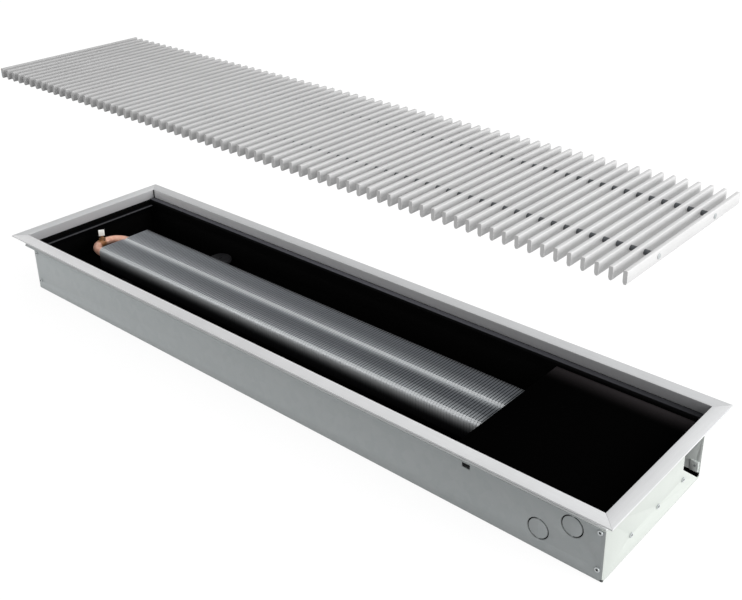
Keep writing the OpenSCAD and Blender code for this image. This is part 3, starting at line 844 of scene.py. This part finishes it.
cap = block("vent_square_cap", (-CAP_W / 2, -CAP_W / 2, 0),
            (CAP_W / 2, CAP_W / 2, CAP_Z[1] - CAP_Z[0]))
edit(cap)
pick(cap, "FACE", lambda f: f.normal.z > 0.9)
bpy.ops.mesh.inset(thickness=CAP_RIM * MM)
bpy.ops.mesh.inset(thickness=CAP_STEP * MM, depth=-CAP_DIP * MM)
leave()
round_edges(cap, 0.9, 3)
cap.rotation_euler = (0, 0, math.radians(CAP_TURN))
cap.location = (VENT_X * MM, VENT_Y * MM, CAP_Z[0] * MM)
bake(cap)
place(cap, "vent_key_cap", "white_plastic", WHITE, "vent_cap")


# ---------------------------------------------------------------- grille

def top_edge(e):
    """Whether an edge of the first bar runs along Y at its top."""
    way = e.verts[1].co - e.verts[0].co
    return (abs(way.x) < 1e-6 and abs(way.z) < 1e-6
            and middle(e).z > GRILLE_Z + BAR_H - 0.1)


bar = block("grille_bar_set", (-GRILLE_L / 2, -GRILLE_W / 2, GRILLE_Z),
            (-GRILLE_L / 2 + BAR_W, GRILLE_W / 2, GRILLE_Z + BAR_H))
edit(bar)
cut((0, 0, GRILLE_Z + BAR_FOOT_H), (0, 0, 1))
pick(bar, "FACE", lambda f: f.normal.z < -0.9)
bpy.ops.transform.resize(value=(BAR_FOOT_TAPER, 1, 1),
                         center_override=((-GRILLE_L / 2 + BAR_W / 2) * MM, 0, GRILLE_Z * MM))
pick(bar, "EDGE", top_edge)
bpy.ops.mesh.bevel(offset=BAR_ROUND * MM, segments=3, affect="EDGES")
leave()
repeat(bar, BAR_N, BAR_PITCH)
place(bar, "grille", "grille_aluminium", BARS, "grille_bars")

sleeves = []
sleeve_x = -GRILLE_L / 2 + BAR_W - SLEEVE_BITE
sleeve_l = BAR_PITCH - BAR_W + 2 * SLEEVE_BITE
for s in (-1, 1):
    sleeve = rod("spacer", (sleeve_x, s * ROD_Y, ROD_Z),
                 (sleeve_x + sleeve_l, s * ROD_Y, ROD_Z), SLEEVE_R, 16)
    repeat(sleeve, BAR_N - 1, BAR_PITCH)
    sleeves.append(sleeve)
place(join("grille_spacer_sleeves", sleeves), "grille", "black_plastic", SLEEVES,
      "grille_spacers")


# ---------------------------------------------------------------- the other CAD parts

def refine(node, name, width, body, slot, finish):
    """A CAD part of the right shape, with its edges rounded."""
    piece = cad_copy(name, node)
    round_edges(piece, width, 2, 35)
    place(piece, body, slot, finish, node)


refine("connection_cover", "cover_plate", 0.35, "trough", "black_painted_sheet", COVER)
refine("end_rest_angles", "end_rest_angle_pair", 0.25, "trough", "black_painted_sheet", EDGE_LIT_LACQUER)
refine("cover_hooks", "cover_wall_brackets", 0.2, "trough", "black_painted_sheet", LACQUER)
refine("grille_seat_strips", "grille_rubber_strips", 0.3, "trough", "rubber_strip", RUBBER)
refine("frame_seal", "frame_foam_strips", 0.3, "trough", "foam_strip", FOAM)
refine("frame_corner_keys", "frame_corner_key_plates", 0.3, "trough", "zinc_steel", ZINC)
refine("grille_tie_rods", "grille_rod_pair", 0.3, "grille", "zinc_steel", ZINC)
refine("grille_rod_rivets", "grille_rivet_heads", 0.3, "grille", "zinc_steel", ZINC)
for side in ("left", "right"):
    refine(side + "_exchanger_bracket", side + "_bracket_sheet", 0.3, "trough",
           "galvanised_sheet", LACQUER)
refine("bracket_screws", "bracket_screw_set", 0.5, "trough", "zinc_steel", ZINC)
for way in ("flow", "return"):
    refine(way + "_connector", way + "_brass_fitting", 0.6, "trough", "brass_fitting", BRASS)
refine("levelling_nuts", "levelling_weld_nuts", 0.6, "trough", "zinc_steel", ZINC)
for corner in ("front_left", "front_right", "rear_left", "rear_right"):
    refine("levelling_screw_" + corner, corner + "_spindle", 0.4, "levelling_" + corner,
           "zinc_steel", ZINC)
    refine("levelling_cap_" + corner, corner + "_cap", 0.4, "levelling_" + corner,
           "black_plastic", NYLON)


def screw(seat, way):
    """A pan-head screw with a drive recess, and a short shank behind its seat."""
    head = rod("screw_head", seat, along(seat, way, HEAD_H), HEAD_R, 24)
    edit(head)
    pick(head, "FACE", lambda f: f.normal.dot(Vector(way)) > 0.9)
    bpy.ops.mesh.inset(thickness=DRIVE_RIM * MM)
    bpy.ops.mesh.inset(thickness=DRIVE_STEP * MM, depth=-DRIVE_DEPTH * MM)
    leave()
    round_edges(head, 0.5, 2, 50)
    return [head, rod("screw_shank", seat, along(seat, way, -SHANK_L), SHANK_R, 16)]


for kind, seats in (("end_wall_screw", END_SCREWS), ("side_wall_screw", SIDE_SCREWS)):
    heads = [part for seat, way in seats for part in screw(seat, way)]
    place(join(kind + "_set", heads), "trough", "zinc_steel", SCREWS, kind + "s")


# ---------------------------------------------------------------- studio

def seen_from_outside(tree):
    """1 for what the camera, a reflection or a refraction sees, 0 for plain light."""
    path = add(tree, "ShaderNodeLightPath").outputs
    return most(tree, path["Is Camera Ray"], path["Is Glossy Ray"],
                path["Is Transmission Ray"])


def lay_floor():
    """White paper under the heater, which lights it like a grey one."""
    clear()
    bpy.ops.mesh.primitive_plane_add(size=60, location=(0, 0, -0.0002))
    floor = settle("studio_floor")
    made = bpy.data.materials.new("matt_white_paper")
    tree = empty_tree(made)
    plain = add(tree, "ShaderNodeBsdfDiffuse", {"Color": (0.42, 0.42, 0.42, 1)})
    faint = add(tree, "ShaderNodeBsdfDiffuse", {"Color": (0.14, 0.14, 0.14, 1)})
    lit = add(tree, "ShaderNodeEmission", {"Color": (1, 1, 1, 1), "Strength": 0.90})
    white = add(tree, "ShaderNodeAddShader", {0: faint.outputs[0], 1: lit.outputs[0]})
    mixed = add(tree, "ShaderNodeMixShader", {
        0: seen_from_outside(tree), 1: plain.outputs[0], 2: white.outputs[0]})
    add(tree, "ShaderNodeOutputMaterial", {"Surface": mixed.outputs[0]})
    floor.data.materials.append(made)


def light_sky():
    """A white background, and soft light that is stronger from the right."""
    world = bpy.data.worlds.new("soft_studio")
    bpy.context.scene.world = world
    tree = empty_tree(world)
    way = add(tree, "ShaderNodeTexCoord").outputs["Generated"]
    lean = add(tree, "ShaderNodeVectorMath", {0: way, 1: (0.90, 0.30, 0.80)},
               operation="DOT_PRODUCT").outputs["Value"]
    level = most(tree, 0.0, calc(tree, "ADD", lean, 0.33))
    sky = add(tree, "ShaderNodeBackground", {"Color": (1, 1, 1, 1), "Strength": level})
    white = add(tree, "ShaderNodeBackground", {"Color": (1, 1, 1, 1), "Strength": 1.0})
    mixed = add(tree, "ShaderNodeMixShader", {
        0: seen_from_outside(tree), 1: sky.outputs[0], 2: white.outputs[0]})
    add(tree, "ShaderNodeOutputWorld", {"Surface": mixed.outputs[0]})


def add_softbox(name, spot, aim, width, height, power):
    """A rectangular lamp that looks at a point, in metres and watts."""
    clear()
    bpy.ops.object.light_add(type="AREA", location=spot)
    lamp = bpy.context.object
    lamp.name = name
    lamp.data.shape = "RECTANGLE"
    lamp.data.size = width
    lamp.data.size_y = height
    lamp.data.energy = power
    lamp.rotation_euler = (Vector(aim) - lamp.location).to_track_quat("-Z", "Y").to_euler()


def add_camera():
    """The camera, solved from the frame's corners and the trough's edges in the photo."""
    made = bpy.data.objects.new("camera", bpy.data.cameras.new("camera"))
    bpy.context.scene.collection.objects.link(made)
    made.location = (1.00606, -0.97828, 0.87605)
    made.rotation_euler = (1.136456, 0.000187, 0.689099)
    made.data.sensor_width = 36
    made.data.lens = 50.481
    made.data.shift_x = -0.06555
    made.data.shift_y = -0.08760
    made.data.clip_start = 0.01
    made.data.clip_end = 100
    bpy.context.scene.camera = made


lay_floor()
light_sky()
add_softbox("right_softbox", (7.0, 0.8, 2.7), (0, 0, 0.1), 4.6, 3.1, 330)
add_softbox("left_fill", (-1.9, -1.7, 0.7), (-0.5, 0, 0.1), 1.2, 1.2, 7)
add_camera()
bpy.context.scene.view_settings.view_transform = "Standard"
clear()
